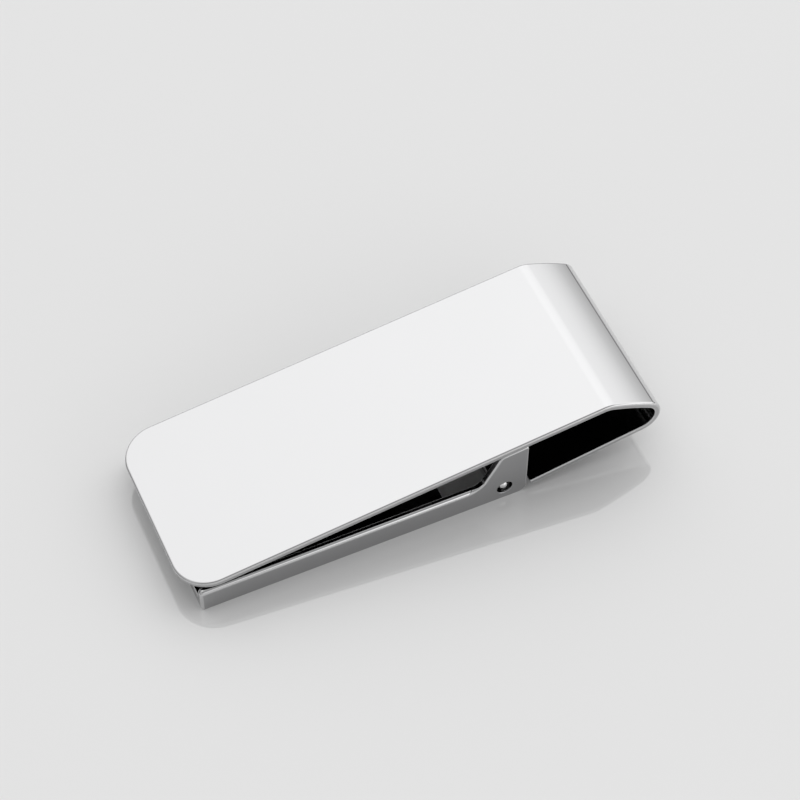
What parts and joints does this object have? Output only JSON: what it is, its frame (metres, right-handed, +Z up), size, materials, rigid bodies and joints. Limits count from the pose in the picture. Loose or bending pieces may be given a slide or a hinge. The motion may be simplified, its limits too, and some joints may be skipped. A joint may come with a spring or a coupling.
{
  "type": "money clip",
  "caption": "Hinged money clip: a flat metal face bent back on itself into a spring, with a pinned channel lever that snaps shut under it to hold folded notes.",
  "frame": {"origin": "centre of the base of the closed clip's box, on the surface that the lever lies on", "axes": "+X from the free end towards the spring bend, +Y across the clip, +Z up out of the surface it lies on; the face plate's outer side looks up"},
  "size_m": [0.0578, 0.0224, 0.0107],
  "materials": {
    "polished_strip": "mirror polished, edges rounded",
    "polished_lever": "polished, slightly softer than the face",
    "turned_pin": "turned steel, ends domed and polished"
  },
  "bodies": {
    "spring": {"spring_body": "polished_strip"},
    "lever": {"lever": "polished_lever", "hinge_pin": "turned_pin"}
  },
  "joints": [
    {"name": "lever_hinge", "type": "hinge", "parent": "spring", "child": "lever", "pos_m": [0.00954, 0, 0.00193], "axis": [0, -1, 0], "range_deg": [0, 125]}
  ]
}
